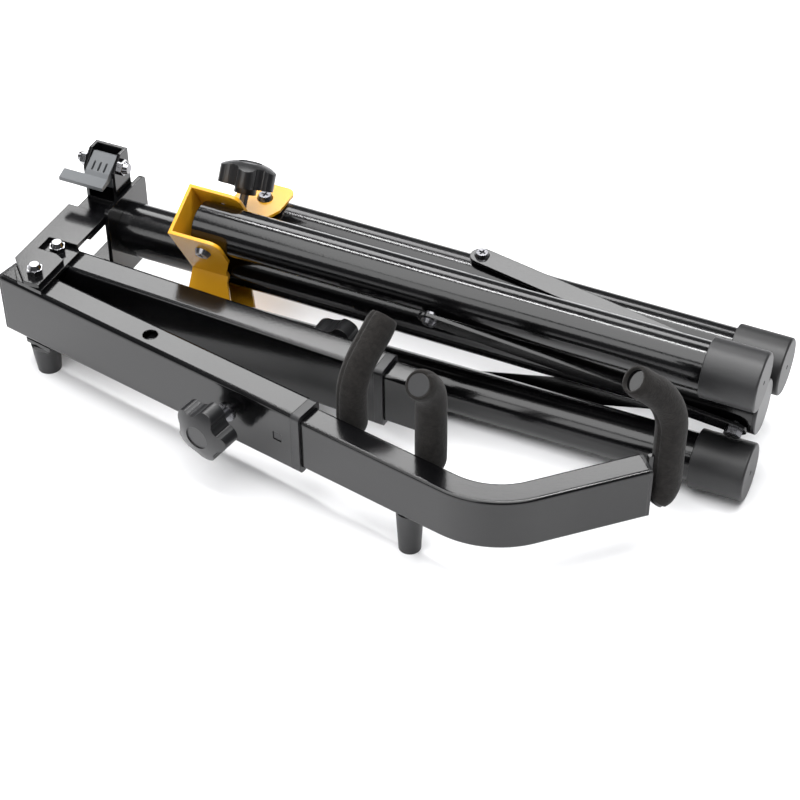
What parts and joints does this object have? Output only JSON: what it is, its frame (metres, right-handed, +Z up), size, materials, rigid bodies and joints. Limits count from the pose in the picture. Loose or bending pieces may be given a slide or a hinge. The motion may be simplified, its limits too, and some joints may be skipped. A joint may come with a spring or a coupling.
{
  "type": "bike rack",
  "caption": "Folding free-standing bike rack with a tripod stand, telescoping arms and foam-covered hooks, folded flat.",
  "frame": {"origin": "centre of the folded rack's footprint, on the floor it lies on", "axes": "+X along the mast from the head to the feet, +Y away from the arms, +Z up from the floor"},
  "size_m": [0.656, 0.3051, 0.1915],
  "materials": {
    "black_paint": "gloss powder coat",
    "yellow_paint": "gloss powder coat",
    "zinc_steel": "zinc plated",
    "chrome_nuts": "bright plated",
    "black_plastic": "satin",
    "knob_plastic": "smooth moulded",
    "grey_plastic": "satin moulded",
    "black_rubber": "satin",
    "hook_foam": "matte foam"
  },
  "bodies": {
    "mast": {"mast_tube": "black_paint", "mast_end_plug": "black_plastic", "hub_block": "zinc_steel", "hub_bolts": "zinc_steel", "head_end_plate": "black_paint", "shelf_upper": "black_paint", "shelf_lower": "black_paint", "cheek_upper": "black_paint", "cheek_lower": "black_paint", "arm_pivot_bolt": "zinc_steel", "pivot_nut": "chrome_nuts", "foot_head": "black_rubber", "latch_housing": "black_paint", "latch_bolt": "zinc_steel", "latch_nuts": "chrome_nuts"},
    "lever": {"latch_lever": "grey_plastic"},
    "collar": {"collar": "yellow_paint", "collar_boss": "zinc_steel", "leg_pivot_bolts": "zinc_steel", "leg_pivot_nuts": "zinc_steel"},
    "collar_clamp": {"collar_knob": "knob_plastic", "collar_knob_stud": "zinc_steel"},
    "arms": {"arm_tube_long": "black_paint", "arm_tube_short": "black_paint", "link_upper": "black_paint", "link_lower": "black_paint", "link_bolt": "zinc_steel", "link_nuts": "chrome_nuts", "bush_long": "black_plastic", "bush_short": "black_plastic", "arm_end_plugs": "black_plastic", "knob_inserts": "zinc_steel"},
    "clamp_long": {"knob_long": "knob_plastic", "knob_stud_long": "zinc_steel"},
    "clamp_short": {"knob_short": "knob_plastic", "knob_stud_short": "zinc_steel"},
    "inner_long": {"inner_tube_long": "black_paint", "inner_plug_long": "black_plastic", "hook_rod_near": "black_paint", "hook_rod_mid": "black_paint", "hook_rod_end": "black_paint", "foam_near": "hook_foam", "foam_mid": "hook_foam", "foam_end": "hook_foam", "rod_plugs": "black_plastic", "foot_mid": "black_rubber"},
    "inner_short": {"inner_tube_short": "black_paint", "inner_plug_short": "black_plastic"},
    "leg_rear": {"leg_tube_rear": "black_paint", "leg_cap_rear": "black_rubber"},
    "strut_rear": {"strut_rear": "black_paint", "strut_screw_rear": "zinc_steel"},
    "leg_upper": {"leg_tube_upper": "black_paint", "leg_cap_upper": "black_rubber"},
    "strut_upper": {"strut_upper": "black_paint", "strut_screw_upper": "zinc_steel"},
    "leg_lower": {"leg_tube_lower": "black_paint", "leg_cap_lower": "black_rubber"},
    "strut_lower": {"strut_lower": "black_paint", "strut_screw_lower": "zinc_steel"}
  },
  "joints": [
    {"name": "collar_slide", "type": "slide", "parent": "mast", "child": "collar", "axis": [1, 0, 0], "range_m": [0, 0.15706]},
    {"name": "collar_knob_turn", "type": "hinge", "parent": "collar", "child": "collar_clamp", "pos_m": [-0.1682, 0.0685, 0.0744], "axis": [0, 0.5, 0.866], "continuous": true},
    {"name": "leg_rear_fold", "type": "hinge", "parent": "collar", "child": "leg_rear", "pos_m": [-0.1662, 0.13, 0.0744], "axis": [0, 0, 1], "range_deg": [0, 45.6]},
    {"name": "strut_rear_fold", "type": "hinge", "parent": "mast", "child": "strut_rear", "pos_m": [0.3088, 0.075, 0.0744], "axis": [0, 0, -1], "range_deg": [0, 39.82]},
    {"name": "leg_upper_fold", "type": "hinge", "parent": "collar", "child": "leg_upper", "pos_m": [-0.1662, 0.03775, 0.12766], "axis": [0, -0.866, -0.5], "range_deg": [0, 45.6]},
    {"name": "strut_upper_fold", "type": "hinge", "parent": "mast", "child": "strut_upper", "pos_m": [0.3088, 0.06525, 0.08003], "axis": [0, 0.866, 0.5], "range_deg": [0, 39.82]},
    {"name": "leg_lower_fold", "type": "hinge", "parent": "collar", "child": "leg_lower", "pos_m": [-0.1662, 0.03775, 0.02114], "axis": [0, 0.866, -0.5], "range_deg": [0, 45.6]},
    {"name": "strut_lower_fold", "type": "hinge", "parent": "mast", "child": "strut_lower", "pos_m": [0.3088, 0.06525, 0.06877], "axis": [0, -0.866, 0.5], "range_deg": [0, 39.82]},
    {"name": "arm_swing", "type": "hinge", "parent": "mast", "child": "arms", "pos_m": [-0.2902, -0.0585, 0.0744], "axis": [0, 0, 1], "range_deg": [-90, 0]},
    {"name": "long_arm_slide", "type": "slide", "parent": "arms", "child": "inner_long", "axis": [0.9833, -0.1822, 0], "range_m": [0, 0.085]},
    {"name": "short_arm_slide", "type": "slide", "parent": "arms", "child": "inner_short", "axis": [0.999, -0.0454, 0], "range_m": [0, 0.085]},
    {"name": "long_knob_turn", "type": "hinge", "parent": "arms", "child": "clamp_long", "pos_m": [-0.07388, -0.09859, 0.0674], "axis": [-0.1822, -0.9833, 0], "continuous": true},
    {"name": "short_knob_turn", "type": "hinge", "parent": "arms", "child": "clamp_short", "pos_m": [-0.03147, -0.02939, 0.0674], "axis": [0.0454, 0.999, 0], "continuous": true},
    {"name": "latch_press", "type": "hinge", "parent": "mast", "child": "lever", "pos_m": [-0.2952, 0.0705, 0.1384], "axis": [1, 0, 0], "range_deg": [0, 18], "stiffness_Nm_per_rad": 0.3, "springref_deg": -11.46}
  ],
  "couplings": [
    {"joint": "leg_rear_fold", "follows": "collar_slide", "rad_per_m": 5.0674},
    {"joint": "strut_rear_fold", "follows": "collar_slide", "rad_per_m": 4.4254},
    {"joint": "leg_upper_fold", "follows": "collar_slide", "rad_per_m": 5.0674},
    {"joint": "strut_upper_fold", "follows": "collar_slide", "rad_per_m": 4.4254},
    {"joint": "leg_lower_fold", "follows": "collar_slide", "rad_per_m": 5.0674},
    {"joint": "strut_lower_fold", "follows": "collar_slide", "rad_per_m": 4.4254}
  ]
}
